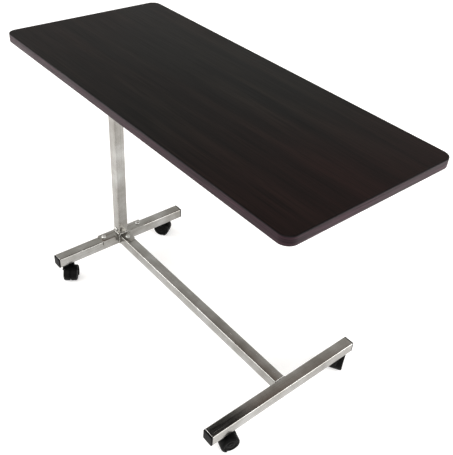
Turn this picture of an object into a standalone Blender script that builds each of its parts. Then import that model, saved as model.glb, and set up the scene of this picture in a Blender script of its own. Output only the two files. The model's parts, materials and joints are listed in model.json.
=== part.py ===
"""Overbed table: a laminate top on a telescoping square mast, over an H-shaped base on twin-wheel casters.

Metres, +Z up. The origin is on the floor under the middle of the top. +X runs from the mast to the free
end of the top. The table stands at its lowest setting.
"""

import math

import bmesh
import bpy
from mathutils import Matrix, Vector

# Driving dimensions
TOP_LENGTH = 0.900
TOP_WIDTH = 0.400
TOP_THICKNESS = 0.019
TOP_HEIGHT = 0.656
TOP_CORNER = 0.022
BAND_THICKNESS = 0.002
TUBE = 0.028
TUBE_WALL = 0.0015
TUBE_CORNER = 0.0028
REAR_LENGTH = 0.400
FRONT_LENGTH = 0.432
BASE_REACH = 0.665
MAST_X = -0.335
CAP_THICKNESS = 0.0035
CASTER_HEIGHT = 0.052
CASTER_INSET = 0.040
INNER_TUBE = 0.0222
OUTER_MAST_TOP = 0.570
COLLAR_HEIGHT = 0.014
COLLAR_SKIRT = 0.015
LIFT_TRAVEL = 0.300
GAP = 0.0003
CUT_OVER = 0.002

# Heights and places worked out from them
TUBE_HALF = TUBE / 2
TUBE_BORE_HALF = TUBE_HALF - TUBE_WALL
INNER_HALF = INNER_TUBE / 2
INNER_BORE_HALF = INNER_HALF - TUBE_WALL
FRONT_X = MAST_X + BASE_REACH
TUBE_Z = CASTER_HEIGHT + TUBE_HALF
TUBE_TOP = CASTER_HEIGHT + TUBE
TOP_UNDERSIDE = TOP_HEIGHT - TOP_THICKNESS

# Foot plate that joins mast, rear tube and centre tube
PLATE_THICKNESS = 0.003
PLATE_LOW = TUBE_TOP + GAP
PLATE_HIGH = PLATE_LOW + PLATE_THICKNESS
PLATE_WING = 0.067
PLATE_SKIRT = 0.0025
PLATE_FRONT = TUBE_HALF + GAP + PLATE_SKIRT
TONGUE_REACH = 0.055
SKIRT_DROP = 0.015
SKIRT_HALF_LENGTH = 0.0235
SKIRT_HALF_HEIGHT = 0.0087
SKIRT_Y = 0.0425
WING_BOLT_Y = 0.0555
TONGUE_BOLT_X = 0.036
BOLT_RADIUS = 0.003
RUNNING_GAP = 0.0003
BOLT_HOLE = BOLT_RADIUS + RUNNING_GAP
NUT_HEIGHT = 0.005
NUT_FLATS = 0.010
ANCHOR_NUT = 0.0045
ANCHOR_Z = TUBE_TOP + 0.0135

# Frame under the top
BAR_THICKNESS = 0.003
BAR_WIDTH = 0.032
BAR_LENGTH = 0.300
STRIP_CORNER = 0.006
BAR_PLACES = {"mast": -0.290, "end": 0.150}
BAR_LOW = TOP_UNDERSIDE - GAP - BAR_THICKNESS
SCREW_Y = 0.135
SCREW_RADIUS = 0.002
SCREW_LENGTH = 0.013
SCREW_HOLE = SCREW_RADIUS + RUNNING_GAP
CHANNEL_TOP = BAR_LOW - GAP
CHANNEL_WIDTH = 0.036
CHANNEL_HEIGHT = 0.022
CHANNEL_WALL = 0.002
CHANNEL_START = MAST_X - 0.030
CHANNEL_END = 0.200
HEAD_THICKNESS = 0.004
HEAD_HALF_LENGTH = 0.035
HEAD_HALF_WIDTH = 0.022
HEAD_HIGH = CHANNEL_TOP - CHANNEL_HEIGHT - GAP
HEAD_LOW = HEAD_HIGH - HEAD_THICKNESS
INNER_MAST_TOP = HEAD_LOW - GAP
INNER_MAST_LOW = 0.125
PIVOT_X = MAST_X - 0.020
PIVOT_Z = HEAD_HIGH + 0.0134
PIVOT_RADIUS = 0.002
LEVER_HALF = 0.004

# Gas spring in the mast: the rod's piston is at the bottom of its stroke
SPRING_LOW = 0.0865
SPRING_RADIUS = 0.0075
SPRING_BORE = 0.0063
SPRING_FLOOR = 0.115
SPRING_GUIDE = 0.008
PISTON_LOW = 0.135
PISTON_HEIGHT = 0.012
STROKE_MARGIN = 0.015
SPRING_HIGH = PISTON_LOW + PISTON_HEIGHT + LIFT_TRAVEL + STROKE_MARGIN + SPRING_GUIDE
ROD_RADIUS = 0.003
ROD_TOP = HEAD_HIGH + 0.0079
RELEASE_BORE = 0.0015
RELEASE_BORE_LOW = HEAD_HIGH - 0.0071
RELEASE_RADIUS = 0.0012
RELEASE_LOW = HEAD_HIGH - 0.0036
RELEASE_TOP = HEAD_HIGH + 0.0119

# Casters: each has its own rolling direction at rest, in degrees from +X
WHEEL_RADIUS = 0.021
WHEEL_WIDTH = 0.0166
WHEEL_INNER = 0.0017
WHEEL_BORE_DEPTH = 0.0120
TRAIL = 0.016
AXLE_Z = WHEEL_RADIUS - CASTER_HEIGHT
AXLE_RADIUS = 0.0023
HOOD_RADIUS = 0.0232
HOOD_HALF = 0.0205
HOOD_CAVITY = 0.0219
WEB_HALF = 0.0012
WEB_RADIUS = 0.0185
STEM_RADIUS = 0.0045
STEM_LOW = -0.0117
STEM_HIGH = 0.022
CASTERS = {
    "rear_right": (MAST_X, CASTER_INSET - REAR_LENGTH / 2, -36.0),
    "rear_left": (MAST_X, REAR_LENGTH / 2 - CASTER_INSET, 215.0),
    "front_right": (FRONT_X, CASTER_INSET - FRONT_LENGTH / 2, 72.0),
    "front_left": (FRONT_X, FRONT_LENGTH / 2 - CASTER_INSET, 118.0),
}

AXES = {
    "X": lambda u, v, along: Vector((along, u, v)),
    "Y": lambda u, v, along: Vector((u, along, v)),
    "Z": lambda u, v, along: Vector((u, v, along)),
}


# Shape helpers


def arc(centre, radius, start, end, steps):
    """Points on an arc, from start to end in degrees."""
    points = []
    for step in range(steps + 1):
        angle = math.radians(start + (end - start) * step / steps)
        points.append((centre[0] + radius * math.cos(angle), centre[1] + radius * math.sin(angle)))
    return points


def rounded_square(half_u, half_v, radius, steps=3):
    """A rectangle outline with round corners, counted from its +u side."""
    corners = ((1, -1, -90), (1, 1, 0), (-1, 1, 90), (-1, -1, 180))
    points = []
    for sign_u, sign_v, start in corners:
        centre = (sign_u * (half_u - radius), sign_v * (half_v - radius))
        points += arc(centre, radius, start, start + 90, steps)
    return points


def blunt_square(half, blunting, count=24):
    """A square outline with a point every 15 degrees and its corners cut back by the blunting."""
    reach = half * math.sqrt(2) - blunting
    points = []
    for step in range(count):
        angle = math.radians(360 * (step + 0.5) / count)
        side = half / max(abs(math.cos(angle)), abs(math.sin(angle)))
        radius = min(side, reach)
        points.append((radius * math.cos(angle), radius * math.sin(angle)))
    return points


def circle_like(outline, radius):
    """A circle with one point in the direction of each outline point."""
    points = []
    for u, v in outline:
        length = math.hypot(u, v)
        points.append((u * radius / length, v * radius / length))
    return points


def placed(outline, along, axis="Z", centre=(0.0, 0.0)):
    """The outline's points in space, in the plane across the axis."""
    return [AXES[axis](u + centre[0], v + centre[1], along) for u, v in outline]


def loft(loops, ring=False):
    """A closed mesh through loops of equal length; a ring joins the last loop to the first."""
    shape = bmesh.new()
    rows = [[shape.verts.new(point) for point in loop] for loop in loops]
    pairs = list(zip(rows, rows[1:]))
    if ring:
        pairs.append((rows[-1], rows[0]))
    else:
        shape.faces.new(rows[0])
        shape.faces.new(rows[-1])
    count = len(rows[0])
    for lower, upper in pairs:
        for i in range(count):
            j = (i + 1) % count
            shape.faces.new((lower[i], lower[j], upper[j], upper[i]))
    return shape


def prism(outline, low, high, axis="Z", centre=(0.0, 0.0)):
    return loft([placed(outline, low, axis, centre), placed(outline, high, axis, centre)])


def square_tube(half, wall, low, high, axis="Z", centre=(0.0, 0.0)):
    """A square tube with open ends."""
    outer = rounded_square(half, half, TUBE_CORNER)
    inner = rounded_square(half - wall, half - wall, TUBE_CORNER - wall)
    loops = [placed(outer, low, axis, centre), placed(outer, high, axis, centre)]
    loops += [placed(inner, high, axis, centre), placed(inner, low, axis, centre)]
    return loft(loops, ring=True)


def turned(profile, segments=24):
    """A solid of revolution about Z; the profile starts and ends on the axis."""
    shape = bmesh.new()
    rows = []
    for radius, height in profile:
        if radius == 0:
            rows.append([shape.verts.new((0, 0, height))])
            continue
        circle = arc((0, 0), radius, 0, 360 * (segments - 1) / segments, segments - 1)
        rows.append([shape.verts.new((x, y, height)) for x, y in circle])
    for lower, upper in zip(rows, rows[1:]):
        for i in range(segments):
            j = (i + 1) % segments
            corners = [lower[i % len(lower)], lower[j % len(lower)]]
            corners += [upper[j % len(upper)], upper[i % len(upper)]]
            shape.faces.new(list(dict.fromkeys(corners)))
    return shape


def move(shape, offset=(0, 0, 0), turn=None):
    """Turns the shape, then moves it."""
    if turn is not None:
        bmesh.ops.transform(shape, matrix=turn, verts=shape.verts)
    bmesh.ops.translate(shape, vec=offset, verts=shape.verts)
    return shape


Z_TO_Y = Matrix.Rotation(math.radians(-90), 4, "X")
Z_TO_MINUS_Y = Matrix.Rotation(math.radians(90), 4, "X")


def mesh_of(shape, name, smooth):
    bmesh.ops.recalc_face_normals(shape, faces=shape.faces)
    mesh = bpy.data.meshes.new(name)
    shape.to_mesh(mesh)
    shape.free()
    if smooth:
        mesh.shade_smooth()
        mesh.set_sharp_from_angle(angle=math.radians(35))
    return mesh


def add(name, shape, material, smooth=False, parent=None, place=(0, 0, 0)):
    """Adds a named object; its origin is at place, in its parent's frame."""
    mesh = shape if isinstance(shape, bpy.types.Mesh) else mesh_of(shape, name, smooth)
    obj = bpy.data.objects.new(name, mesh)
    bpy.context.scene.collection.objects.link(obj)
    if not mesh.materials:
        mesh.materials.append(material)
    obj.parent = parent
    obj.location = place
    return obj


def empty(name, place, turn=0.0):
    obj = bpy.data.objects.new(name, None)
    bpy.context.scene.collection.objects.link(obj)
    obj.location = place
    obj.rotation_euler = (0, 0, math.radians(turn))
    return obj


def helper(name, shape, material):
    """A cutter or a hidden building block."""
    obj = add(name, shape, material)
    obj.hide_render = True
    obj.display_type = "WIRE"
    return obj


def boolean(obj, other, operation="DIFFERENCE"):
    modifier = obj.modifiers.new(f"{operation.lower()}_{other.name}", "BOOLEAN")
    modifier.operation = operation
    modifier.object = other


def hole_circle(radius):
    """The outline of a small hole."""
    return arc((0, 0), radius, 0, 330, 11)


def drill(obj, name, radius, low, high, axis="Z", centre=(0.0, 0.0)):
    """Cuts a round hole through the object."""
    circle = hole_circle(radius)
    cutter = helper(f"{name}_cutter", prism(circle, low, high, axis, centre), obj.data.materials[0])
    boolean(obj, cutter)


def baked(obj, name):
    """The object's mesh with its modifiers applied, for several objects to share."""
    bpy.context.view_layer.update()
    graph = bpy.context.evaluated_depsgraph_get()
    mesh = bpy.data.meshes.new_from_object(obj.evaluated_get(graph))
    mesh.name = name
    mesh.shade_smooth()
    mesh.set_sharp_from_angle(angle=math.radians(35))
    return mesh


def material(name, color, roughness, metallic=0.0):
    made = bpy.data.materials.new(name)
    made.use_nodes = True
    shader = made.node_tree.nodes["Principled BSDF"]
    shader.inputs["Base Color"].default_value = (*color, 1.0)
    shader.inputs["Roughness"].default_value = roughness
    shader.inputs["Metallic"].default_value = metallic
    made.diffuse_color = (*color, 1.0)
    return made


# Fasteners


def button_bolt(low, seat, radius=BOLT_RADIUS):
    """A button-head socket bolt: shank from low up to seat, then the head."""
    head = radius * 2.15
    profile = [(0, low), (radius, low), (radius, seat), (head, seat), (head, seat + 0.0012)]
    profile += [(head * 0.87, seat + 0.0026), (head * 0.62, seat + 0.0036), (radius * 0.78, seat + 0.0040)]
    profile += [(radius * 0.78, seat + 0.0018), (0, seat + 0.0018)]
    return turned(profile, 14)


def hex_nut(low, height, flats, hole):
    """A hexagonal nut round a plain hole, with a point in the middle of each flat."""
    outline = []
    for side in range(6):
        start = math.radians(60 * side)
        corner = flats / math.sqrt(3)
        outline.append((corner * math.cos(start), corner * math.sin(start)))
        middle = start + math.radians(30)
        outline.append((flats / 2 * math.cos(middle), flats / 2 * math.sin(middle)))
    bore = circle_like(outline, hole)
    loops = [placed(outline, low), placed(outline, low + height)]
    loops += [placed(bore, low + height), placed(bore, low)]
    return loft(loops, ring=True)


def wood_screw():
    """A pan-head screw, its seat at height 0 and its shank pointing up."""
    profile = [(0, -0.0022), (0.0024, -0.0021), (0.0038, -0.0013), (0.0040, 0), (SCREW_RADIUS, 0)]
    profile += [(SCREW_RADIUS, SCREW_LENGTH - 0.003), (0, SCREW_LENGTH)]
    return turned(profile, 10)


# Top and its frame


def build_top(laminate, band):
    half_x = TOP_LENGTH / 2
    half_y = TOP_WIDTH / 2
    inset = BAND_THICKNESS + GAP
    board_outline = rounded_square(half_x - inset, half_y - inset, TOP_CORNER - inset, 6)
    board = add("tabletop_board", prism(board_outline, TOP_UNDERSIDE, TOP_HEIGHT), laminate)
    screw_holes(board, "board_screw_hole", TOP_UNDERSIDE - 0.001, TOP_UNDERSIDE + SCREW_LENGTH + GAP)
    outer = rounded_square(half_x, half_y, TOP_CORNER, 6)
    inner = rounded_square(half_x - BAND_THICKNESS, half_y - BAND_THICKNESS, TOP_CORNER - BAND_THICKNESS, 6)
    loops = [placed(outer, TOP_UNDERSIDE), placed(outer, TOP_HEIGHT)]
    loops += [placed(inner, TOP_HEIGHT), placed(inner, TOP_UNDERSIDE)]
    add("edge_band", loft(loops, ring=True), band, smooth=True)


def screw_holes(obj, name, low, high):
    for bar, x in BAR_PLACES.items():
        for side in (-1, 1):
            drill(obj, f"{name}_{bar}_{side}", SCREW_HOLE, low, high, centre=(x, side * SCREW_Y))


def build_top_frame(steel, zinc):
    screw_mesh = mesh_of(wood_screw(), "wood_screw", smooth=True)
    for bar, x in BAR_PLACES.items():
        outline = rounded_square(BAR_WIDTH / 2, BAR_LENGTH / 2, STRIP_CORNER)
        bar_shape = prism(outline, BAR_LOW, BAR_LOW + BAR_THICKNESS, centre=(x, 0))
        piece = add(f"cross_bar_{bar}", bar_shape, steel)
        for side, label in ((-1, "right"), (1, "left")):
            centre = (x, side * SCREW_Y)
            drill(piece, f"bar_{bar}_{label}", SCREW_HOLE, BAR_LOW - 0.001, TOP_UNDERSIDE, centre=centre)
            place = (x, side * SCREW_Y, BAR_LOW - GAP)
            add(f"bar_screw_{bar}_{label}", screw_mesh, zinc, place=place)
    outer = CHANNEL_WIDTH / 2
    inner = outer - CHANNEL_WALL
    low = CHANNEL_TOP - CHANNEL_HEIGHT
    web = CHANNEL_TOP - CHANNEL_WALL
    section = [(-outer, low), (-outer, CHANNEL_TOP), (outer, CHANNEL_TOP), (outer, low)]
    section += [(inner, low), (inner, web), (-inner, web), (-inner, low)]
    channel = add("support_channel", prism(section, CHANNEL_START, CHANNEL_END, "X"), steel)
    pivot = (PIVOT_X, PIVOT_Z)
    drill(channel, "channel_pivot_hole", PIVOT_RADIUS + RUNNING_GAP, -0.03, 0.03, "Y", pivot)
    at_mast = (MAST_X, 0)
    outline = rounded_square(HEAD_HALF_LENGTH, HEAD_HALF_WIDTH, STRIP_CORNER)
    plate = prism(outline, HEAD_LOW, HEAD_HIGH, centre=at_mast)
    head = add("head_plate", plate, steel)
    rod_hole = ROD_RADIUS + RUNNING_GAP
    drill(head, "head_rod_hole", rod_hole, HEAD_LOW - CUT_OVER, HEAD_HIGH + CUT_OVER, centre=at_mast)


def build_lever(steel, plastic, zinc):
    """The release lever turns about a pin across the channel and presses the gas spring's release pin."""
    cam = RELEASE_TOP + GAP - PIVOT_Z
    handle_top = -0.0070
    handle_low = -0.0110
    outline = [(0.0235, 0.0005), (0.0210, 0.0030), (0.0040, 0.0036), (-0.0130, 0.0036)]
    outline += [(-0.0240, handle_top), (-0.0660, handle_top), (-0.0660, handle_low), (-0.0260, handle_low)]
    outline += [(-0.0150, -0.0010), (-0.0060, -0.0040), (0.0060, -0.0040), (0.0150, cam + 0.0004)]
    outline += [(0.0180, cam), (0.0215, cam), (0.0235, cam + 0.0010)]
    place = (PIVOT_X, 0, PIVOT_Z)
    lever = add("release_lever", prism(outline, -LEVER_HALF, LEVER_HALF, "Y"), steel, place=place)
    bore_shape = prism(hole_circle(PIVOT_RADIUS + RUNNING_GAP), -2 * LEVER_HALF, 2 * LEVER_HALF, "Y")
    bore = helper("lever_bore_cutter", bore_shape, steel)
    bore.location = place
    boolean(lever, bore)
    grip_low = -0.0155
    grip_high = -0.0025
    grip_middle = (grip_low + grip_high) / 2
    ends = ((-0.0340, 0.85), (-0.0370, 1.0), (-0.0690, 1.0), (-0.0720, 0.85))
    loops = []
    for x, scale in ends:
        shape = rounded_square(0.017 * scale, (grip_high - grip_low) / 2 * scale, 0.004 * scale)
        loops.append(placed(shape, x, "X", (0, grip_middle)))
    grip = add("lever_grip", loft(loops), plastic, smooth=True, place=place)
    pocket_outline = rounded_square(LEVER_HALF + GAP, (handle_top - handle_low) / 2 + GAP, 0.0001, 1)
    pocket_shape = prism(pocket_outline, -0.0663, -0.0300, "X", (0, (handle_top + handle_low) / 2))
    pocket = helper("grip_pocket_cutter", pocket_shape, plastic)
    pocket.location = place
    boolean(grip, pocket)
    half = CHANNEL_WIDTH / 2 + GAP
    head = PIVOT_RADIUS * 1.8
    profile = [(0, -half - 0.0015), (head, -half - 0.0015), (head, -half), (PIVOT_RADIUS, -half)]
    profile += [(PIVOT_RADIUS, half), (head, half), (head, half + 0.0015), (0, half + 0.0015)]
    add("lever_pivot_pin", move(turned(profile, 16), turn=Z_TO_Y), zinc, smooth=True, place=place)


# Mast and gas spring


def build_mast(chrome, plastic, steel, zinc):
    centre = (MAST_X, 0)
    outer_shape = square_tube(TUBE_HALF, TUBE_WALL, PLATE_HIGH + GAP, OUTER_MAST_TOP, centre=centre)
    outer = add("outer_mast", outer_shape, chrome)
    drill(outer, "mast_anchor_hole", BOLT_HOLE, -0.02, 0.02, "Y", (MAST_X, ANCHOR_Z))
    inner_shape = square_tube(INNER_HALF, TUBE_WALL, INNER_MAST_LOW, INNER_MAST_TOP, centre=centre)
    add("inner_mast", inner_shape, chrome)

    slot = INNER_HALF + GAP
    skirt = rounded_square(TUBE_BORE_HALF - GAP, TUBE_BORE_HALF - GAP, 0.0012)
    rim = rounded_square(TUBE_HALF + 0.002, TUBE_HALF + 0.002, 0.004)
    rim_edge = rounded_square(TUBE_HALF + 0.001, TUBE_HALF + 0.001, 0.003)
    hole = rounded_square(slot, slot, TUBE_CORNER)
    seat = OUTER_MAST_TOP + GAP
    rim_top = seat + COLLAR_HEIGHT
    loops = [placed(skirt, seat - COLLAR_SKIRT, centre=centre), placed(skirt, seat, centre=centre)]
    loops += [placed(rim, seat, centre=centre), placed(rim, rim_top - 0.001, centre=centre)]
    loops += [placed(rim_edge, rim_top, centre=centre), placed(hole, rim_top, centre=centre)]
    loops += [placed(hole, seat - COLLAR_SKIRT, centre=centre)]
    add("mast_collar", loft(loops, ring=True), plastic)

    spigot = blunt_square(INNER_BORE_HALF - GAP, 0.0008)
    flange = blunt_square(TUBE_BORE_HALF - GAP, 0.0010)
    passage = circle_like(spigot, SPRING_RADIUS + 0.0007)
    shoulder = INNER_MAST_LOW - GAP
    foot = shoulder - 0.012
    spigot_top = shoulder + 0.015
    loops = [placed(flange, foot, centre=centre), placed(flange, shoulder, centre=centre)]
    loops += [placed(spigot, shoulder, centre=centre), placed(spigot, spigot_top, centre=centre)]
    loops += [placed(passage, spigot_top, centre=centre), placed(passage, foot, centre=centre)]
    add("inner_mast_bush", loft(loops, ring=True), plastic)

    at_mast = (MAST_X, 0, 0)
    profile = [(0, SPRING_LOW), (SPRING_RADIUS, SPRING_LOW), (SPRING_RADIUS, SPRING_HIGH)]
    guide = ROD_RADIUS + RUNNING_GAP
    profile += [(guide, SPRING_HIGH), (guide, SPRING_HIGH - SPRING_GUIDE)]
    profile += [(SPRING_BORE, SPRING_HIGH - SPRING_GUIDE), (SPRING_BORE, SPRING_FLOOR), (0, SPRING_FLOOR)]
    cylinder = add("gas_spring_cylinder", move(turned(profile, 24), at_mast), steel, smooth=True)
    drill(cylinder, "spring_anchor_hole", BOLT_HOLE, -0.02, 0.02, "Y", (MAST_X, ANCHOR_Z))
    piston = SPRING_BORE - 0.0004
    profile = [(0, PISTON_LOW), (piston, PISTON_LOW), (piston, PISTON_LOW + PISTON_HEIGHT)]
    profile += [(ROD_RADIUS, PISTON_LOW + PISTON_HEIGHT), (ROD_RADIUS, ROD_TOP), (RELEASE_BORE, ROD_TOP)]
    profile += [(RELEASE_BORE, RELEASE_BORE_LOW), (0, RELEASE_BORE_LOW)]
    add("gas_spring_rod", move(turned(profile, 16), at_mast), chrome, smooth=True)
    nut = hex_nut(HEAD_HIGH + GAP, NUT_HEIGHT, NUT_FLATS, ROD_RADIUS + RUNNING_GAP)
    add("rod_nut", move(nut, at_mast), zinc)
    profile = [(0, RELEASE_LOW), (RELEASE_RADIUS, RELEASE_LOW), (RELEASE_RADIUS, RELEASE_TOP - 0.0004)]
    profile += [(RELEASE_RADIUS * 0.6, RELEASE_TOP), (0, RELEASE_TOP)]
    add("release_pin", move(turned(profile, 14), at_mast), zinc, smooth=True)

    seat = TUBE_HALF + GAP
    nut_far = seat + ANCHOR_NUT
    bolt = button_bolt(-nut_far - 0.001, seat, BOLT_RADIUS * 0.93)
    add("spring_anchor_bolt", move(bolt, (MAST_X, 0, ANCHOR_Z), Z_TO_MINUS_Y), zinc, smooth=True)
    nut = hex_nut(0, ANCHOR_NUT, NUT_FLATS, BOLT_HOLE)
    add("spring_anchor_nut", move(nut, (MAST_X, seat, ANCHOR_Z), Z_TO_Y), zinc)


# Base


def build_base(chrome, plastic, zinc):
    rear_half = REAR_LENGTH / 2 - CAP_THICKNESS - GAP
    front_half = FRONT_LENGTH / 2 - CAP_THICKNESS - GAP
    rear_shape = square_tube(TUBE_HALF, TUBE_WALL, -rear_half, rear_half, "Y", (MAST_X, TUBE_Z))
    rear = add("rear_tube", rear_shape, chrome)
    front_shape = square_tube(TUBE_HALF, TUBE_WALL, -front_half, front_half, "Y", (FRONT_X, TUBE_Z))
    front = add("front_tube", front_shape, chrome)
    start = MAST_X + TUBE_HALF + GAP
    end = FRONT_X - TUBE_HALF - GAP
    centre = add("centre_tube", square_tube(TUBE_HALF, TUBE_WALL, start, end, "X", (0, TUBE_Z)), chrome)
    below = CASTER_HEIGHT - 0.005
    above = CASTER_HEIGHT + 0.005
    for name, (x, y, _) in CASTERS.items():
        tube = rear if name.startswith("rear") else front
        drill(tube, f"stem_hole_{name}", STEM_RADIUS + RUNNING_GAP, below, above, centre=(x, y))

    plate = add("foot_plate", foot_plate_shape(), chrome)
    for side, label in ((-1, "right"), (1, "left")):
        outline = rounded_square(SKIRT_HALF_LENGTH, SKIRT_HALF_HEIGHT, 0.005)
        skirt_z = PLATE_LOW - SKIRT_DROP + SKIRT_HALF_HEIGHT
        skirt = prism(outline, TUBE_HALF + GAP, PLATE_FRONT, "X", (side * SKIRT_Y, skirt_z))
        block = helper(f"skirt_{label}", move(skirt, (MAST_X, 0, 0)), chrome)
        boolean(plate, block, "UNION")

    bolt_shape = button_bolt(CASTER_HEIGHT - NUT_HEIGHT - 0.0015, PLATE_HIGH + GAP)
    bolt_mesh = mesh_of(bolt_shape, "foot_bolt", smooth=True)
    nut_shape = hex_nut(CASTER_HEIGHT - GAP - NUT_HEIGHT, NUT_HEIGHT, NUT_FLATS, BOLT_HOLE)
    nut_mesh = mesh_of(nut_shape, "foot_nut", smooth=False)
    bolts = {
        "right": (MAST_X, -WING_BOLT_Y, rear),
        "left": (MAST_X, WING_BOLT_Y, rear),
        "tongue": (MAST_X + TONGUE_BOLT_X, 0.0, centre),
    }
    plate_from = PLATE_LOW - CUT_OVER
    plate_to = PLATE_HIGH + CUT_OVER
    for label, (x, y, tube) in bolts.items():
        drill(plate, f"plate_hole_{label}", BOLT_HOLE, plate_from, plate_to, centre=(x, y))
        drill(tube, f"tube_hole_{label}", BOLT_HOLE, below, TUBE_TOP + 0.005, centre=(x, y))
        add(f"foot_bolt_{label}", bolt_mesh, zinc, place=(x, y, 0))
        add(f"foot_nut_{label}", nut_mesh, zinc, place=(x, y, 0))

    for name, x, half in (("rear", MAST_X, REAR_LENGTH / 2), ("front", FRONT_X, FRONT_LENGTH / 2)):
        add(f"end_cap_{name}_left", end_cap(half, 1, x), plastic)
        add(f"end_cap_{name}_right", end_cap(half, -1, x), plastic)


def foot_plate_shape():
    """The plate lies on the rear tube, with a tongue on the centre tube."""
    tongue = TUBE_HALF - 0.0003
    tip = 0.009
    fillet = 0.004
    back = -TUBE_HALF
    outline = [(back, -PLATE_WING), (PLATE_FRONT - 0.002, -PLATE_WING), (PLATE_FRONT, -PLATE_WING + 0.002)]
    outline += arc((PLATE_FRONT + fillet, -tongue - fillet), fillet, 180, 90, 3)
    outline += arc((TONGUE_REACH - tip, -tongue + tip), tip, -90, 0, 5)
    outline += arc((TONGUE_REACH - tip, tongue - tip), tip, 0, 90, 5)
    outline += arc((PLATE_FRONT + fillet, tongue + fillet), fillet, -90, -180, 3)
    outline += [(PLATE_FRONT, PLATE_WING - 0.002), (PLATE_FRONT - 0.002, PLATE_WING), (back, PLATE_WING)]
    return prism(outline, PLATE_LOW, PLATE_HIGH, centre=(MAST_X, 0))


def end_cap(half, side, x):
    """A cap on the tube's end, its hollow spigot in the tube."""
    centre = (x, TUBE_Z)
    face = rounded_square(TUBE_HALF - 0.001, TUBE_HALF - 0.001, 0.0025)
    flange = rounded_square(TUBE_HALF, TUBE_HALF, TUBE_CORNER)
    plug_half = TUBE_BORE_HALF - GAP
    plug = rounded_square(plug_half, plug_half, 0.0012)
    hollow = rounded_square(plug_half - 0.0015, plug_half - 0.0015, 0.0006)
    seat = half - CAP_THICKNESS
    inner = seat - 0.012
    steps = ((face, half), (flange, half - 0.001), (flange, seat), (plug, seat), (plug, inner))
    steps += ((hollow, inner), (hollow, seat))
    return loft([placed(outline, side * along, "Y", centre) for outline, along in steps])


# Casters, in a frame with the stem's axis at x = 0, the tube's underside at z = 0 and the axle towards +X


def hood_mesh(plastic):
    """A fender round the back of both wheels, a web between them and a neck for the stem."""
    axle = (TRAIL, AXLE_Z)
    fender_outline = arc(axle, HOOD_RADIUS, 70, 235, 14)
    inner_edge = ((-0.0075, -0.0130), (-0.0075, 0.0120), (0.0040, 0.0185))
    fender_outline += [(TRAIL + u, AXLE_Z + v) for u, v in inner_edge]
    hood = helper("hood_block", prism(fender_outline, -HOOD_HALF, HOOD_HALF, "Y"), plastic)
    neck_profile = [(0, -0.0190), (0.0095, -0.0190), (0.0095, -0.0130)]
    neck_profile += [(0.0078, -0.0030), (0.0072, -0.0008), (0, -0.0008)]
    neck = turned(neck_profile, 14)
    boolean(hood, helper("neck_block", neck, plastic), "UNION")
    cavity_circle = arc((0, 0), HOOD_CAVITY, 0, 345, 23)
    for side in (-1, 1):
        ends = sorted((side * WEB_HALF, side * (HOOD_HALF - 0.0018)))
        cavity = prism(cavity_circle, ends[0], ends[1], "Y", axle)
        boolean(hood, helper(f"wheel_cavity_{side}", cavity, plastic))
    web_outline = arc(axle, WEB_RADIUS, -100, 80, 12)
    web_points = ((-0.0040, 0.0190), (-0.0140, 0.0140), (-0.0180, 0.0), (-0.0120, -0.0100))
    web_outline += [(TRAIL + u, AXLE_Z + v) for u, v in web_points]
    web = prism(web_outline, -WEB_HALF - 0.0002, WEB_HALF + 0.0002, "Y")
    boolean(hood, helper("web_block", web, plastic), "UNION")
    bore = prism(hole_circle(STEM_RADIUS + RUNNING_GAP), STEM_LOW - GAP, 0.01)
    boolean(hood, helper("hood_stem_bore", bore, plastic))
    axle_bore = prism(hole_circle(AXLE_RADIUS + RUNNING_GAP), -0.01, 0.01, "Y", axle)
    boolean(hood, helper("hood_axle_bore", axle_bore, plastic))
    return baked(hood, "caster_hood")


def wheel_shape():
    """One wheel, its inner face at height 0 and its hub cap at the top."""
    width = WHEEL_WIDTH
    bore = AXLE_RADIUS + RUNNING_GAP
    profile = [(0, WHEEL_BORE_DEPTH), (bore, WHEEL_BORE_DEPTH), (bore, 0)]
    profile += [(WHEEL_RADIUS - 0.0015, 0), (WHEEL_RADIUS, 0.0015)]
    profile += [(WHEEL_RADIUS, width - 0.0030), (WHEEL_RADIUS - 0.0012, width - 0.0010)]
    profile += [(WHEEL_RADIUS - 0.0040, width), (0.0155, width - 0.0007), (0.0060, width - 0.0007)]
    profile += [(0.0050, width), (0, width)]
    return turned(profile, 20)


def build_casters(plastic, rubber, zinc):
    hood = hood_mesh(plastic)
    wheel = {
        "left": mesh_of(move(wheel_shape(), turn=Z_TO_Y), "wheel_left", smooth=True),
        "right": mesh_of(move(wheel_shape(), turn=Z_TO_MINUS_Y), "wheel_right", smooth=True),
    }
    stem_profile = [(0, STEM_LOW), (STEM_RADIUS - 0.0008, STEM_LOW), (STEM_RADIUS, STEM_LOW + 0.0008)]
    stem_profile += [(STEM_RADIUS, STEM_HIGH - 0.001), (STEM_RADIUS - 0.001, STEM_HIGH), (0, STEM_HIGH)]
    stem = mesh_of(turned(stem_profile, 14), "caster_stem", smooth=True)
    half_axle = WHEEL_INNER + WHEEL_BORE_DEPTH - GAP
    axle_profile = [(0, -half_axle), (AXLE_RADIUS, -half_axle), (AXLE_RADIUS, half_axle), (0, half_axle)]
    axle = mesh_of(move(turned(axle_profile, 12), turn=Z_TO_Y), "caster_axle", smooth=True)
    for name, (x, y, heading) in CASTERS.items():
        swivel = empty(f"caster_swivel_{name}", (x, y, CASTER_HEIGHT), heading)
        add(f"caster_stem_{name}", stem, zinc, place=(x, y, CASTER_HEIGHT))
        add(f"caster_hood_{name}", hood, plastic, parent=swivel)
        add(f"caster_axle_{name}", axle, zinc, parent=swivel, place=(TRAIL, 0, AXLE_Z))
        for side, label in ((1, "left"), (-1, "right")):
            place = (TRAIL, side * WHEEL_INNER, AXLE_Z)
            add(f"caster_wheel_{name}_{label}", wheel[label], rubber, parent=swivel, place=place)


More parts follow.
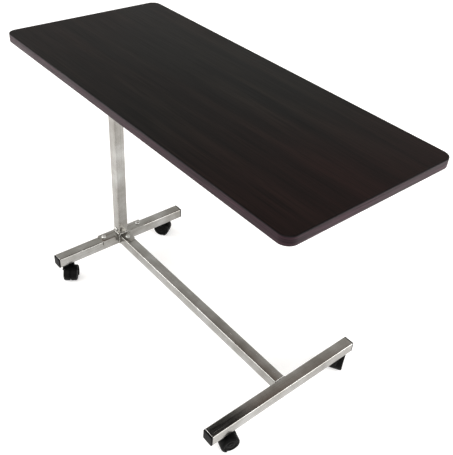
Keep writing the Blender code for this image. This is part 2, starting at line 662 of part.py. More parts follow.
def main():
    for obj in list(bpy.data.objects):
        bpy.data.objects.remove(obj, do_unlink=True)
    laminate = material("dark_laminate", (0.020, 0.014, 0.013), 0.40)
    band = material("edge_band", (0.045, 0.026, 0.030), 0.45)
    chrome = material("bright_steel", (0.62, 0.61, 0.59), 0.22, 1.0)
    steel = material("painted_steel", (0.05, 0.05, 0.05), 0.50)
    zinc = material("zinc_plated_steel", (0.60, 0.60, 0.58), 0.35, 1.0)
    plastic = material("black_plastic", (0.022, 0.022, 0.023), 0.50)
    rubber = material("wheel_plastic", (0.030, 0.030, 0.031), 0.45)
    build_top(laminate, band)
    build_top_frame(steel, zinc)
    build_lever(steel, plastic, zinc)
    build_mast(chrome, plastic, steel, zinc)
    build_base(chrome, plastic, zinc)
    build_casters(plastic, rubber, zinc)
    bpy.context.view_layer.update()


main()
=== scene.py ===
import json
import math

import bmesh
import bpy
from mathutils import Matrix, Vector


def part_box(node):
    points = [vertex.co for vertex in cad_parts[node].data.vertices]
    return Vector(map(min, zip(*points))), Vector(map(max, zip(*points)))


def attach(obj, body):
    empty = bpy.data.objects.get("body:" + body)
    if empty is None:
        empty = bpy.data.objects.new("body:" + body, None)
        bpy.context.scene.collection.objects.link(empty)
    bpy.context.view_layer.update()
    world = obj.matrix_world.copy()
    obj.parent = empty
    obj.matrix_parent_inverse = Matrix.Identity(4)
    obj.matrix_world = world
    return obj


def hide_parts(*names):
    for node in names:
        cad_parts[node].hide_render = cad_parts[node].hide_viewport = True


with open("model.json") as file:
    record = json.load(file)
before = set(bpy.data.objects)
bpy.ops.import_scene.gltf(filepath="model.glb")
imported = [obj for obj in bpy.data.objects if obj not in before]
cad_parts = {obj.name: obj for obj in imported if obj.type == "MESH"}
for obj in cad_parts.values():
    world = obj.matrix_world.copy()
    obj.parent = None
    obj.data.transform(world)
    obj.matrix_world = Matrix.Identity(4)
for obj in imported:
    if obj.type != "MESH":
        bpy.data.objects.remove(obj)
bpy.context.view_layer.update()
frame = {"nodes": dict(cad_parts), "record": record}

NODES = frame["nodes"]
RECORD = frame["record"]
BODY_OF = {node: body for body, members in RECORD["behaviour"]["bodies"].items() for node in members}

# Finish sizes, in metres
TOP_CORNER = 0.022
BAND_THICKNESS = 0.002
SEAM_CHAMFER = 0.0005
BAND_ROUNDING = 0.0016
TUBE_CORNER = 0.0028
TUBE_WALL = 0.0015
TUBE_EASE = 0.0003
WELD_RADIUS = 0.0019
SMALL_WELD_RADIUS = 0.0013
WELD_SPACING = 0.0008
HOOD_RADIUS = 0.0230
HOOD_HALF_WIDTH = 0.0203
HOOD_WALL = 0.0014
HOOD_TO_TUBE = 0.0008
BOLT_DOME = 0.0040
SOCKET_DEPTH = 0.0019
WEB_RADIUS = 0.0182
WEB_HALF = 0.0011
WHEEL_WIDTH = 0.0166
CASTERS = ("rear_left", "rear_right", "front_left", "front_right")

# Camera and light
CAMERA_PLACE = (0.9134, -0.7405, 1.2132)
CAMERA_TARGET = (0.0354, 0.0607, 0.3000)
CAMERA_ROLL = 4.476
CAMERA_LENS = 34.135
CAMERA_SENSOR = 24.0
WALL_COLOR = (0.78, 0.775, 0.75, 1.0)
CEILING_COLOR = (0.24, 0.165, 0.125, 1.0)
CEILING_START = 0.68
CEILING_FULL = 0.84
FLOOR_GLOW = 0.30
KEY_STRENGTH = 1.9
KEY_SPREAD = 75
KEY_DIRECTION = (0.9, -0.9, 1.8)
STRIP_DISTANCE = 2.6
STRIP_POWER = 38
STRIP_SIZE = (2.0, 1.0)
STRIP_DIRECTIONS = {"far_strip": (0.77, 0.50, 0.39), "near_strip": (-0.56, -0.69, 0.45)}


# Outlines


def arc(centre, radius, start, end, steps):
    """Points on an arc, from start to end in degrees."""
    points = []
    for step in range(steps + 1):
        angle = math.radians(start + (end - start) * step / steps)
        points.append((centre[0] + radius * math.cos(angle), centre[1] + radius * math.sin(angle)))
    return points


def rounded_rectangle(half_u, half_v, radius, steps=8):
    """A rectangle outline with round corners, counted from its +u side."""
    points = []
    for sign_u, sign_v, start in ((1, -1, -90), (1, 1, 0), (-1, 1, 90), (-1, -1, 180)):
        centre = (sign_u * (half_u - radius), sign_v * (half_v - radius))
        points += arc(centre, radius, start, start + 90, steps)
    return points


def in_space(outline, along, axis, centre):
    """The outline's points in the plane across an axis; centre is a point in space."""
    order = {"X": lambda u, v: (along, centre[1] + u, centre[2] + v),
             "Y": lambda u, v: (centre[0] + u, along, centre[2] + v),
             "Z": lambda u, v: (centre[0] + u, centre[1] + v, along)}[axis]
    return [Vector(order(u, v)) for u, v in outline]


# Meshes


def loft(loops, ring=False):
    """A closed shape through loops of equal length; a ring joins the last loop to the first."""
    shape = bmesh.new()
    rows = [[shape.verts.new(point) for point in loop] for loop in loops]
    pairs = list(zip(rows, rows[1:]))
    if ring:
        pairs.append((rows[-1], rows[0]))
    else:
        shape.faces.new(rows[0])
        shape.faces.new(rows[-1])
    count = len(rows[0])
    for lower, upper in pairs:
        for i in range(count):
            j = (i + 1) % count
            shape.faces.new((lower[i], lower[j], upper[j], upper[i]))
    return shape


def turned(profile, segments=40):
    """A solid of revolution about Z; the profile starts and ends on the axis."""
    shape = bmesh.new()
    rows = []
    for radius, height in profile:
        if radius == 0:
            rows.append([shape.verts.new((0, 0, height))])
            continue
        circle = arc((0, 0), radius, 0, 360 * (segments - 1) / segments, segments - 1)
        rows.append([shape.verts.new((x, y, height)) for x, y in circle])
    for lower, upper in zip(rows, rows[1:]):
        for i in range(segments):
            j = (i + 1) % segments
            corners = [lower[i % len(lower)], lower[j % len(lower)]]
            corners += [upper[j % len(upper)], upper[i % len(upper)]]
            shape.faces.new(list(dict.fromkeys(corners)))
    return shape


def softened(profile, radius, steps=3):
    """A turned profile with each inner corner rounded by a short curve."""
    rounded = [profile[0]]
    for before, corner, after in zip(profile, profile[1:], profile[2:]):
        here = Vector(corner)
        back = Vector(before) - here
        ahead = Vector(after) - here
        cut = min(radius, back.length * 0.45, ahead.length * 0.45)
        start = here + back.normalized() * cut
        end = here + ahead.normalized() * cut
        for step in range(steps + 1):
            t = step / steps
            point = start * (1 - t) ** 2 + here * 2 * t * (1 - t) + end * t**2
            rounded.append((max(point.x, 0.0), point.y))
    rounded.append(profile[-1])
    return rounded


def to_mesh(shape, name, sharp=40):
    bmesh.ops.recalc_face_normals(shape, faces=shape.faces)
    mesh = bpy.data.meshes.new(name)
    shape.to_mesh(mesh)
    shape.free()
    mesh.shade_smooth()
    mesh.set_sharp_from_angle(angle=math.radians(sharp))
    return mesh


def add_piece(name, shape, material, node, *more_nodes, sharp=40):
    """Puts a finished piece in the place of a CAD node, on that node's body."""
    mesh = shape if isinstance(shape, bpy.types.Mesh) else to_mesh(shape, name, sharp)
    obj = bpy.data.objects.new(name, mesh)
    bpy.context.scene.collection.objects.link(obj)
    mesh.materials.clear()
    mesh.materials.append(material)
    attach(obj, BODY_OF[node])
    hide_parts(node, *more_nodes)
    return obj


def add_trim(name, shape, material, body):
    """A small piece that stands for no CAD node, such as a weld."""
    obj = bpy.data.objects.new(name, to_mesh(shape, name))
    bpy.context.scene.collection.objects.link(obj)
    obj.data.materials.append(material)
    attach(obj, body)
    return obj


def eased(node, material, width=0.0004, segments=2, crease=32):
    """The node's own shape with its flat faces joined and its sharp edges rounded."""
    shape = bmesh.new()
    shape.from_mesh(NODES[node].data)
    bmesh.ops.remove_doubles(shape, verts=shape.verts, dist=1e-5)
    bmesh.ops.dissolve_limit(shape, angle_limit=math.radians(1), verts=shape.verts, edges=shape.edges)
    limit = math.radians(crease)
    edges = [edge for edge in shape.edges if edge.is_manifold and edge.calc_face_angle() > limit]
    bmesh.ops.bevel(
        shape, geom=edges, offset=width, segments=segments, profile=0.5, affect="EDGES", clamp_overlap=True
    )
    return add_piece(f"{node}_finished", shape, material, node)


# Materials


class Finish:
    """A Principled material under construction."""

    def __init__(self, name, roughness, metallic=0.0, specular=0.5):
        self.material = bpy.data.materials.new(name)
        self.material.use_nodes = True
        self.tree = self.material.node_tree
        self.shader = self.tree.nodes["Principled BSDF"]
        self.shader.inputs["Roughness"].default_value = roughness
        self.shader.inputs["Metallic"].default_value = metallic
        self.shader.inputs["Specular IOR Level"].default_value = specular
        self.place = self.tree.nodes.new("ShaderNodeTexCoord").outputs["Object"]

    def noise(self, scale, detail=2.0, roughness=0.5, distortion=0.0, turn=(0, 0, 0)):
        """Noise stretched by a different scale along each axis, in features per metre."""
        mapping = self.tree.nodes.new("ShaderNodeMapping")
        mapping.inputs["Scale"].default_value = scale
        mapping.inputs["Rotation"].default_value = [math.radians(angle) for angle in turn]
        self.tree.links.new(self.place, mapping.inputs["Vector"])
        texture = self.tree.nodes.new("ShaderNodeTexNoise")
        texture.inputs["Scale"].default_value = 1.0
        texture.inputs["Detail"].default_value = detail
        texture.inputs["Roughness"].default_value = roughness
        texture.inputs["Distortion"].default_value = distortion
        self.tree.links.new(mapping.outputs["Vector"], texture.inputs["Vector"])
        return texture.outputs["Fac"]

    def along(self, axis):
        """The object's own coordinate along an axis."""
        node = self.tree.nodes.new("ShaderNodeSeparateXYZ")
        self.tree.links.new(self.place, node.inputs["Vector"])
        return node.outputs[axis]

    def ramp(self, value, stops):
        node = self.tree.nodes.new("ShaderNodeValToRGB")
        elements = node.color_ramp.elements
        while len(elements) < len(stops):
            elements.new(0.5)
        for element, (position, color) in zip(elements, stops):
            element.position = position
            element.color = (*color, 1.0)
        self.tree.links.new(value, node.inputs["Fac"])
        return node.outputs["Color"]

    def blend(self, factor, first, second, mode="MIX"):
        node = self.tree.nodes.new("ShaderNodeMix")
        node.data_type = "RGBA"
        node.blend_type = mode
        for socket, value in (("Factor", factor), ("A", first), ("B", second)):
            target = [s for s in node.inputs if s.name == socket and s.type in ("VALUE", "RGBA")]
            target = target[0] if socket == "Factor" else target[-1]
            if isinstance(value, bpy.types.NodeSocket):
                self.tree.links.new(value, target)
            elif socket == "Factor":
                target.default_value = value
            else:
                target.default_value = (*value, 1.0)
        return [s for s in node.outputs if s.type == "RGBA"][0]

    def span(self, value, low, high, from_low=0.3, from_high=0.7):
        node = self.tree.nodes.new("ShaderNodeMapRange")
        node.inputs["From Min"].default_value = from_low
        node.inputs["From Max"].default_value = from_high
        node.inputs["To Min"].default_value = low
        node.inputs["To Max"].default_value = high
        self.tree.links.new(value, node.inputs["Value"])
        return node.outputs["Result"]

    def combine(self, first, second, operation="ADD"):
        """A sum of two values, or another Math operation on them."""
        node = self.tree.nodes.new("ShaderNodeMath")
        node.operation = operation
        self.tree.links.new(first, node.inputs[0])
        if isinstance(second, bpy.types.NodeSocket):
            self.tree.links.new(second, node.inputs[1])
        else:
            node.inputs[1].default_value = second
        return node.outputs["Value"]

    def use(self, color=None, roughness=None, height=None, strength=0.1, distance=0.0002):
        if color is not None:
            self.tree.links.new(color, self.shader.inputs["Base Color"])
        if roughness is not None:
            self.tree.links.new(roughness, self.shader.inputs["Roughness"])
        if height is not None:
            bump = self.tree.nodes.new("ShaderNodeBump")
            bump.inputs["Strength"].default_value = strength
            bump.inputs["Distance"].default_value = distance
            self.tree.links.new(height, bump.inputs["Height"])
            self.tree.links.new(bump.outputs["Normal"], self.shader.inputs["Normal"])
        return self.material


def laminate():
    """Espresso woodgrain laminate, its grain along the top, redder towards the free end."""
    finish = Finish("espresso_laminate", 0.42, specular=0.05)
    figure = finish.noise((1.3, 26, 26), 5, 0.6, 0.9)
    pores = finish.noise((7, 430, 430), 3, 0.62)
    patches = finish.noise((1.6, 3.0, 3.0), 1)
    wood = finish.ramp(figure, [(0.30, (0.0012, 0.0010, 0.0009)), (0.50, (0.0026, 0.0020, 0.0016)),
                                (0.72, (0.0092, 0.0070, 0.0054))])
    red = finish.ramp(figure, [(0.30, (0.0034, 0.0012, 0.0011)), (0.72, (0.0125, 0.0048, 0.0042))])
    by_patch = finish.span(patches, -0.3, 0.3, 0.40, 0.62)
    by_place = finish.span(finish.along("X"), 0.1, 0.9, 0.0, 0.42)
    redness = finish.combine(by_patch, by_place)
    redness = finish.combine(redness, 1.0, "MINIMUM")
    redness = finish.combine(redness, 0.0, "MAXIMUM")
    tone = finish.blend(redness, wood, red)
    dark = finish.ramp(pores, [(0.38, (0.36, 0.35, 0.34)), (0.50, (1.0, 1.0, 1.0))])
    color = finish.blend(0.85, tone, dark, "MULTIPLY")
    roughness = finish.combine(finish.span(pores, 0.05, -0.03), finish.span(patches, 0.36, 0.44))
    return finish.use(color, roughness, pores, 0.25, 0.00012)


def band_laminate():
    """Purplish brown edge band with streaks along it, darker towards its top and bottom edges."""
    finish = Finish("edge_band_woodgrain", 0.42, specular=0.10)
    low, high = (corner.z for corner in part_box("edge_band"))
    streaks = finish.noise((10, 10, 620), 3, 0.6, 0.3)
    patches = finish.noise((14, 14, 60), 2)
    color = finish.ramp(streaks, [(0.34, (0.009, 0.004, 0.006)), (0.5, (0.022, 0.010, 0.014)),
                                  (0.66, (0.052, 0.026, 0.034))])
    tint = finish.ramp(patches, [(0.35, (0.70, 0.66, 0.70)), (0.65, (1.0, 0.95, 0.98))])
    color = finish.blend(1.0, color, tint, "MULTIPLY")
    # The colour turns darker over the last few millimetres towards the band's top and bottom edges.
    height = finish.along("Z")
    inside = finish.span(height, 0.0, 1.0, low + 0.0008, low + 0.0030)
    inside = finish.combine(inside, finish.span(height, 1.0, 0.0, high - 0.0028, high - 0.0008), "MULTIPLY")
    color = finish.blend(inside, (0.003, 0.002, 0.0025), color)
    return finish.use(color, finish.span(patches, 0.36, 0.5), streaks, 0.2, 0.00012)


def bright_steel(axis):
    """Bright plated tube steel with fine drawing lines along the axis and faint slanted rub marks."""
    finish = Finish(f"bright_steel_{axis.lower()}", 0.24, metallic=1.0)
    along = [4 if letter == axis else 560 for letter in "XYZ"]
    lines = finish.noise(along, 3, 0.6)
    rubs = finish.noise([letter_scale * 0.45 + 20 for letter_scale in along], 2, 0.6, turn=(38, 38, 38))
    clouds = finish.noise((14, 14, 14), 3, 0.6)
    color = finish.ramp(clouds, [(0.32, (0.26, 0.25, 0.232)), (0.50, (0.335, 0.328, 0.31)),
                                 (0.68, (0.42, 0.417, 0.405))])
    shade = finish.ramp(lines, [(0.34, (0.82, 0.81, 0.80)), (0.55, (1.0, 1.0, 1.0))])
    color = finish.blend(0.6, color, shade, "MULTIPLY")
    roughness = finish.combine(finish.span(lines, 0.15, 0.22), finish.span(rubs, -0.02, 0.07))
    height = finish.combine(lines, finish.combine(rubs, 0.5, "MULTIPLY"))
    return finish.use(color, roughness, height, 0.10, 0.00006)


def zinc():
    finish = Finish("zinc_plating", 0.34, metallic=1.0)
    grain = finish.noise((900, 900, 900), 2)
    clouds = finish.noise((120, 120, 120), 2)
    color = finish.ramp(clouds, [(0.35, (0.46, 0.46, 0.45)), (0.65, (0.66, 0.66, 0.64))])
    return finish.use(color, finish.span(clouds, 0.24, 0.40), grain, 0.15, 0.00008)


def weld_metal():
    finish = Finish("plated_weld_with_painted_glints", 0.3, metallic=1.0)
    grain = finish.noise((420, 420, 420), 3, 0.6)
    # The colour is speckled from near black to bright: painted glints and painted dark specks that stand in
    # for the specular spots of a shiny, bumpy plated bead. The same noise also gives the bead its real
    # roughness and bump.
    color = finish.ramp(grain, [(0.35, (0.10, 0.095, 0.085)), (0.65, (0.72, 0.71, 0.69))])
    return finish.use(color, finish.span(grain, 0.2, 0.38), grain, 0.5, 0.0004)


def powder_coat():
    finish = Finish("black_powder_coat", 0.5, specular=0.45)
    peel = finish.noise((1100, 1100, 1100), 2)
    clouds = finish.noise((22, 22, 22), 3)
    color = finish.ramp(clouds, [(0.3, (0.014, 0.014, 0.0145)), (0.7, (0.026, 0.026, 0.027))])
    return finish.use(color, finish.span(clouds, 0.42, 0.56), peel, 0.3, 0.00015)


def moulded_plastic():
    """Black moulded plastic with a fine spark-eroded texture."""
    finish = Finish("black_moulded_plastic", 0.48, specular=0.06)
    spark = finish.noise((1900, 1900, 1900), 2)
    clouds = finish.noise((60, 60, 60), 3)
    color = finish.ramp(clouds, [(0.3, (0.0010, 0.0011, 0.0012)), (0.7, (0.0026, 0.0027, 0.0027))])
    return finish.use(color, finish.span(clouds, 0.40, 0.54), spark, 0.3, 0.0001)


def wheel_plastic():
    """Black wheel nylon with dull scuffs on its tread."""
    finish = Finish("wheel_nylon", 0.42, specular=0.06)
    scuffs = finish.noise((240, 240, 900), 3, 0.65, 0.4)
    clouds = finish.noise((90, 90, 90), 3)
    color = finish.ramp(scuffs, [(0.30, (0.0010, 0.0010, 0.0011)), (0.64, (0.0024, 0.0024, 0.0023)),
                                 (0.82, (0.0090, 0.0086, 0.0080))])
    roughness = finish.combine(finish.span(scuffs, 0.0, 0.12), finish.span(clouds, 0.34, 0.44))
    return finish.use(color, roughness, scuffs, 0.2, 0.0001)


# Top


def make_top(top_finish, band_finish):
    low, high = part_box("tabletop_board")
    half_x = (high.x - low.x) / 2
    half_y = (high.y - low.y) / 2
    centre = (low + high) / 2
    band_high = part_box("edge_band")[1]
    inset = band_high.x - high.x
    corner = TOP_CORNER - inset
    full = rounded_rectangle(half_x, half_y, corner, 12)
    cut = SEAM_CHAMFER
    small = rounded_rectangle(half_x - cut, half_y - cut, corner - cut, 12)
    loops = [in_space(small, low.z, "Z", centre), in_space(full, low.z + cut, "Z", centre)]
    loops += [in_space(full, high.z - cut, "Z", centre), in_space(small, high.z, "Z", centre)]
    add_piece("tabletop_laminate", loft(loops), top_finish, "tabletop_board")

    outer_x = half_x + inset
    outer_y = half_y + inset
    rounding = BAND_ROUNDING
    section = [(BAND_THICKNESS, low.z + cut), (BAND_THICKNESS - cut, low.z)]
    section += [
        (depth, height)
        for depth, height in arc((rounding, low.z + rounding), rounding, 270, 180, 5)
    ]
    section += [
        (depth, height)
        for depth, height in arc((rounding, high.z - rounding), rounding, 180, 90, 5)
    ]
    section += [(BAND_THICKNESS - cut, high.z), (BAND_THICKNESS, high.z - cut)]
    loops = []
    for depth, height in section:
        outline = rounded_rectangle(outer_x - depth, outer_y - depth, TOP_CORNER - depth, 12)
        loops.append(in_space(outline, height, "Z", centre))
    add_piece("edge_trim", loft(loops, ring=True), band_finish, "edge_band")


# Tubes


def make_tube(node, axis, finish):
    """A drawn square tube with round corners and eased ends, in the node's place."""
    low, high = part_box(node)
    centre = (low + high) / 2
    letter = "XYZ".index(axis)
    start = low[letter]
    end = high[letter]
    across = [high[i] - low[i] for i in range(3) if i != letter]
    half_u = across[0] / 2
    half_v = across[1] / 2
    ease = TUBE_EASE
    steps = ((ease, start), (0.0, start + ease), (0.0, end - ease), (ease, end))
    steps += ((TUBE_WALL, end), (TUBE_WALL, start))
    loops = []
    for depth, along in steps:
        radius = TUBE_CORNER - depth
        outline = rounded_rectangle(half_u - depth, half_v - depth, radius)
        loops.append(in_space(outline, along, axis, centre))
    add_piece(f"{node}_drawn", loft(loops, ring=True), finish, node)


def bead(path, radius, finish, name, closed=True, ripple=0.16, pitch=0.0032):
    """A weld bead along a path, with the scalloped ripples that a weld has."""
    count = len(path)
    loops = []
    travelled = 0.0
    for i, point in enumerate(path):
        before = path[i - 1] if closed or i else point
        after = path[(i + 1) % count] if closed or i + 1 < count else point
        direction = (after - before).normalized()
        side = direction.cross(Vector((0, 0, 1)))
        side = side.normalized() if side.length > 0.01 else Vector((1, 0, 0))
        up = side.cross(direction)
        swell = 1 + ripple * math.sin(2 * math.pi * travelled / pitch)
        ring = arc((0, 0), radius * swell, 0, 330, 11)
        loops.append([point + side * u + up * v for u, v in ring])
        travelled += (after - point).length
    return add_trim(name, loft(loops, ring=closed), finish, "base")


def dense(points, spacing, closed=True):
    """Extra points along a path, about one spacing apart."""
    result = []
    ends = points[1:] + points[:1] if closed else points[1:]
    for start, end in zip(points, ends):
        parts = max(1, round((end - start).length / spacing))
        result += [start.lerp(end, part / parts) for part in range(parts)]
    if not closed:
        result.append(points[-1])
    return result


def make_welds(finish):
    low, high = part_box("outer_mast")
    centre = (low + high) / 2
    plate_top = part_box("foot_plate")[1].z
    half = (high.x - low.x) / 2 + 0.0006
    outline = rounded_rectangle(half, half, TUBE_CORNER, 5)
    path = dense(in_space(outline, plate_top + 0.0004, "Z", centre), WELD_SPACING)
    bead(path, WELD_RADIUS, finish, "mast_foot_weld")

    low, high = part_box("centre_tube")
    reach = 0.0010
    ends = (("front", high.x - 0.0002), ("rear", low.x + 0.0002))
    for label, x in ends:
        left, right = low.y - reach * 0.3, high.y + reach * 0.3
        corners = [Vector((x, left, high.z - 0.002)), Vector((x, left, low.z))]
        corners += [Vector((x, right, low.z)), Vector((x, right, high.z - 0.002))]
        path = dense(corners, WELD_SPACING, closed=False)
        bead(path, SMALL_WELD_RADIUS, finish, f"centre_tube_weld_{label}", closed=False)


# Casters, in a frame with the axle's middle at the origin and the rolling direction towards +X


def fender_shape(radius, half_width):
    """A crowned shell over the back and top of both wheels."""
    sections = []
    for step in range(25):
        angle = math.radians(62 + (238 - 62) * step / 24)
        outer = []
        inner = []
        for part in range(17):
            t = -1 + part / 8
            drop = 0.0052 * abs(t) ** 5
            y = half_width * math.sin(t * math.pi / 2) if abs(t) < 1 else math.copysign(half_width, t)
            outer.append((radius - drop, y))
            inner.append((radius - drop * 0.9 - HOOD_WALL, y * (1 - 0.8 * HOOD_WALL / half_width)))
        loop = outer + inner[::-1]
        direction = Vector((math.cos(angle), 0, math.sin(angle)))
        sections.append([direction * reach + Vector((0, y, 0)) for reach, y in loop])
    return loft(sections)


def hood_mesh(radius, half_width, trail, stem_top, finish):
    """Fender, web between the wheels and the neck that takes the stem, as one moulding."""
    fender = to_mesh(fender_shape(radius, half_width), "hood_fender")
    web_outline = arc((0, 0), WEB_RADIUS, -98, 66, 30)
    web_outline += arc((0, 0), radius - 0.0008, 78, 222, 20)
    ease = 0.0003
    web_loops = []
    for depth, y in ((ease, -WEB_HALF), (0.0, ease - WEB_HALF), (0.0, WEB_HALF - ease), (ease, WEB_HALF)):
        shrink = 1 - depth / radius
        web_loops.append([Vector((u * shrink, y, v * shrink)) for u, v in web_outline])
    web = to_mesh(loft(web_loops), "hood_web")
    profile = [(0, 0.0030), (0.0092, 0.0030), (0.0094, stem_top - 0.0120), (0.0082, stem_top - 0.0060)]
    profile += [(0.0076, stem_top), (0, stem_top)]
    neck_shape = turned(softened(profile, 0.0016), 36)
    bmesh.ops.translate(neck_shape, vec=(-trail, 0, 0), verts=neck_shape.verts)
    neck = to_mesh(neck_shape, "hood_neck")
    parts = []
    for mesh in (fender, web, neck):
        part = bpy.data.objects.new(mesh.name, mesh)
        bpy.context.scene.collection.objects.link(part)
        mesh.materials.append(finish)
        parts.append(part)
    for part in parts[1:]:
        union = parts[0].modifiers.new("join", "BOOLEAN")
        union.operation = "UNION"
        union.object = part
    bpy.context.view_layer.update()
    graph = bpy.context.evaluated_depsgraph_get()
    joined = bpy.data.meshes.new_from_object(parts[0].evaluated_get(graph))
    for part in parts:
        bpy.data.objects.remove(part, do_unlink=True)
    joined.name = "caster_hood_moulding"
    joined.shade_smooth()
    joined.set_sharp_from_angle(angle=math.radians(40))
    return joined


def wheel_profile(radius, width):
    """Half of the wheel's section, from the inner face at height 0 to the outer face at the top."""
    profile = [
        (0, width - 0.0105), (0.0026, width - 0.0105), (0.0026, 0.0), (0.0062, 0.0), (0.0072, 0.0012)
    ]
    profile += [(radius - 0.0040, 0.0012), (radius - 0.0030, 0.0), (radius - 0.0012, 0.0)]
    profile += [(radius, 0.0012), (radius, width * 0.42), (radius - 0.0004, width * 0.46)]
    profile += [(radius - 0.0004, width * 0.54), (radius, width * 0.58), (radius, width - 0.0034)]
    profile += [(radius - 0.0014, width - 0.0010), (radius - 0.0034, width), (radius - 0.0048, width)]
    profile += [(radius - 0.0056, width - 0.0011), (0.0086, width - 0.0013), (0.0072, width - 0.0003)]
    profile += [(0.0056, width), (0.0022, width), (0.0016, width - 0.0005), (0, width - 0.0005)]
    return softened(profile, 0.0005, 2)


def make_casters(hood_finish, wheel_finish, metal):
    hood = None
    for name in CASTERS:
        stem_low, stem_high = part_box(f"caster_stem_{name}")
        axle_low, axle_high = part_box(f"caster_axle_{name}")
        stem = (stem_low + stem_high) / 2
        axle = (axle_low + axle_high) / 2
        forward = Vector((axle.x - stem.x, axle.y - stem.y, 0))
        trail = forward.length
        heading = math.atan2(forward.y, forward.x)
        tube_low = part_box("rear_tube")[0].z
        if hood is None:
            hood_top = tube_low - HOOD_TO_TUBE - axle.z
            hood = hood_mesh(HOOD_RADIUS, HOOD_HALF_WIDTH, trail, hood_top, hood_finish)
        place = Matrix.Translation(axle) @ Matrix.Rotation(heading, 4, "Z")
        mesh = hood.copy()
        mesh.transform(place)
        add_piece(f"caster_hood_{name}_moulded", mesh, hood_finish, f"caster_hood_{name}")
        for side in ("left", "right"):
            node = f"caster_wheel_{name}_{side}"
            low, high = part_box(node)
            middle = (low + high) / 2
            radius = (high.z - low.z) / 2
            outward = (middle - axle).normalized()
            shape = turned(wheel_profile(radius, WHEEL_WIDTH), 56)
            turn = outward.to_track_quat("Z", "X").to_matrix().to_4x4()
            start = middle - outward * WHEEL_WIDTH / 2
            bmesh.ops.transform(shape, matrix=Matrix.Translation(start) @ turn, verts=shape.verts)
            add_piece(f"{node}_moulded", shape, wheel_finish, node, sharp=35)
        eased(f"caster_stem_{name}", metal, 0.0003)
        eased(f"caster_axle_{name}", metal, 0.0002)


# Fasteners


def bolt_mesh(node, finish, axis="Z", outward=1):
    """A button-head bolt with a hexagon socket, along an axis; outward is the head's side."""
    low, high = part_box(node)
    centre = (low + high) / 2
    letter = "XYZ".index(axis)
    ends = (low[letter], high[letter]) if outward > 0 else (high[letter], low[letter])
    across = [high[i] - low[i] for i in range(3) if i != letter]
    head = max(across) / 2
    length = abs(ends[1] - ends[0])
    shank = head / 2.15
    profile = [(0, 0), (shank - 0.0004, 0), (shank, 0.0005)]
    profile += [(shank, length - BOLT_DOME), (head - 0.0002, length - BOLT_DOME)]
    profile += [(head, length - BOLT_DOME + 0.0004), (head, length - BOLT_DOME + 0.0012)]
    profile += [(head * 0.93, length - BOLT_DOME + 0.0023), (head * 0.80, length - BOLT_DOME + 0.0031)]
    profile += [(head * 0.62, length - BOLT_DOME + 0.0037), (shank * 0.92, length)]
    profile += [(shank * 0.80, length - 0.0002)]
    shape = turned(softened(profile + [(0, length - 0.0002)], 0.0002, 2), 36)
    socket = [
        v for v in shape.verts
        if v.co.z > length - 0.0003 and math.hypot(v.co.x, v.co.y) < shank * 0.85
    ]
    for vert in socket:
        reach = math.hypot(vert.co.x, vert.co.y)
        if reach > shank * 0.5:
            angle = math.atan2(vert.co.y, vert.co.x)
            hexagon = math.cos(math.radians(30)) / math.cos((angle % math.radians(60)) - math.radians(30))
            vert.co.x *= hexagon
            vert.co.y *= hexagon
    bore = [f for f in shape.faces if all(v in socket for v in f.verts)]
    bmesh.ops.inset_region(shape, faces=bore, thickness=0.00015)
    moved = {v for f in bore for v in f.verts}
    bmesh.ops.translate(shape, vec=(0, 0, -SOCKET_DEPTH), verts=list(moved))
    direction = Vector([outward if i == letter else 0 for i in range(3)])
    turn = direction.to_track_quat("Z", "X").to_matrix().to_4x4()
    start = Vector(centre)
    start[letter] = ends[0]
    bmesh.ops.transform(shape, matrix=Matrix.Translation(start) @ turn, verts=shape.verts)
    return add_piece(f"{node}_finished", shape, finish, node, sharp=35)


# Stage


def make_stage():
    """A pale floor, walls lighter than the ceiling, a soft key light and two strips for the edges."""
    shape = bmesh.new()
    bmesh.ops.create_grid(shape, x_segments=1, y_segments=1, size=30)
    floor = bpy.data.objects.new("floor", to_mesh(shape, "floor"))
    bpy.context.scene.collection.objects.link(floor)
    finish = Finish("pale_floor", 0.9, specular=0.0)
    patches = finish.noise((0.7, 0.7, 0.7), 2)
    color = finish.ramp(patches, [(0.0, (0.86, 0.86, 0.86)), (1.0, (0.90, 0.90, 0.90))])
    finish.shader.inputs["Emission Color"].default_value = (1, 1, 1, 1)
    finish.shader.inputs["Emission Strength"].default_value = FLOOR_GLOW
    floor.data.materials.append(finish.use(color))

    world = bpy.data.worlds.new("studio")
    world.use_nodes = True
    tree = world.node_tree
    direction = tree.nodes.new("ShaderNodeTexCoord").outputs["Generated"]
    split = tree.nodes.new("ShaderNodeSeparateXYZ")
    tree.links.new(direction, split.inputs["Vector"])
    sky = tree.nodes.new("ShaderNodeValToRGB")
    sky.color_ramp.elements[0].position = CEILING_START
    sky.color_ramp.elements[0].color = WALL_COLOR
    sky.color_ramp.elements[1].position = CEILING_FULL
    sky.color_ramp.elements[1].color = CEILING_COLOR
    tree.links.new(split.outputs["Z"], sky.inputs["Fac"])
    tree.links.new(sky.outputs["Color"], tree.nodes["Background"].inputs["Color"])
    tree.nodes["Background"].inputs["Strength"].default_value = 1.0
    bpy.context.scene.world = world
    bpy.context.scene.view_settings.view_transform = "Standard"

    sun = bpy.data.lights.new("soft_key", "SUN")
    sun.energy = KEY_STRENGTH
    sun.angle = math.radians(KEY_SPREAD)
    key = bpy.data.objects.new("soft_key", sun)
    key.rotation_euler = Vector(KEY_DIRECTION).to_track_quat("Z", "Y").to_euler()
    bpy.context.scene.collection.objects.link(key)
    for name, direction in STRIP_DIRECTIONS.items():
        panel = bpy.data.lights.new(name, "AREA")
        panel.shape = "RECTANGLE"
        panel.size, panel.size_y = STRIP_SIZE
        panel.energy = STRIP_POWER
        strip = bpy.data.objects.new(name, panel)
        strip.location = Vector(direction).normalized() * STRIP_DISTANCE
        strip.rotation_euler = Vector(direction).to_track_quat("Z", "Y").to_euler()
        strip.visible_camera = False
        bpy.context.scene.collection.objects.link(strip)


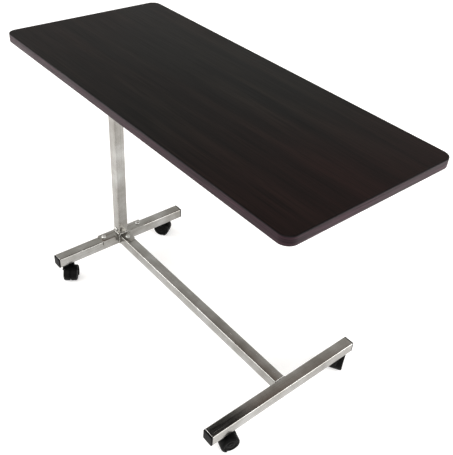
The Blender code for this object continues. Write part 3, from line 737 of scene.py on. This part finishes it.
def make_camera():
    camera = bpy.data.cameras.new("camera")
    camera.sensor_fit = "VERTICAL"
    camera.sensor_height = CAMERA_SENSOR
    camera.lens = CAMERA_LENS
    camera.clip_start = 0.01
    obj = bpy.data.objects.new("camera", camera)
    place = Vector(CAMERA_PLACE)
    look = (Vector(CAMERA_TARGET) - place).to_track_quat("-Z", "Y").to_matrix().to_4x4()
    obj.matrix_world = Matrix.Translation(place) @ look @ Matrix.Rotation(math.radians(CAMERA_ROLL), 4, "Z")
    bpy.context.scene.collection.objects.link(obj)
    bpy.context.scene.camera = obj


make_camera()
make_stage()

steel_x = bright_steel("X")
steel_y = bright_steel("Y")
steel_z = bright_steel("Z")
metal = zinc()
black_paint = powder_coat()
plastic = moulded_plastic()
nylon = wheel_plastic()
weld = weld_metal()

make_top(laminate(), band_laminate())
make_tube("rear_tube", "Y", steel_y)
make_tube("front_tube", "Y", steel_y)
make_tube("centre_tube", "X", steel_x)
make_tube("outer_mast", "Z", steel_z)
make_tube("inner_mast", "Z", steel_z)
make_welds(weld)
make_casters(plastic, nylon, metal)

eased("foot_plate", steel_y, 0.0006, 3)
eased("mast_collar", plastic, 0.0006, 3)
for end in ("rear", "front"):
    for side in ("left", "right"):
        eased(f"end_cap_{end}_{side}", plastic, 0.0005, 3)
for node in ("support_channel", "cross_bar_mast", "cross_bar_end", "head_plate", "release_lever"):
    eased(node, black_paint, 0.0005, 3)
eased("lever_grip", plastic, 0.0010, 3, crease=25)
for node in ("foot_bolt_left", "foot_bolt_right", "foot_bolt_tongue"):
    bolt_mesh(node, metal)
bolt_mesh("spring_anchor_bolt", metal, "Y", -1)
for node in ("foot_nut_left", "foot_nut_right", "foot_nut_tongue", "spring_anchor_nut", "rod_nut"):
    eased(node, metal, 0.0004, 2)
for bar in ("mast", "end"):
    for side in ("left", "right"):
        eased(f"bar_screw_{bar}_{side}", metal, 0.0003, 2)
for node in ("lever_pivot_pin", "release_pin"):
    eased(node, metal, 0.0002, 2)
eased("gas_spring_cylinder", black_paint, 0.0004, 2)
eased("gas_spring_rod", steel_z, 0.0002, 2)
eased("inner_mast_bush", plastic, 0.0004, 2)
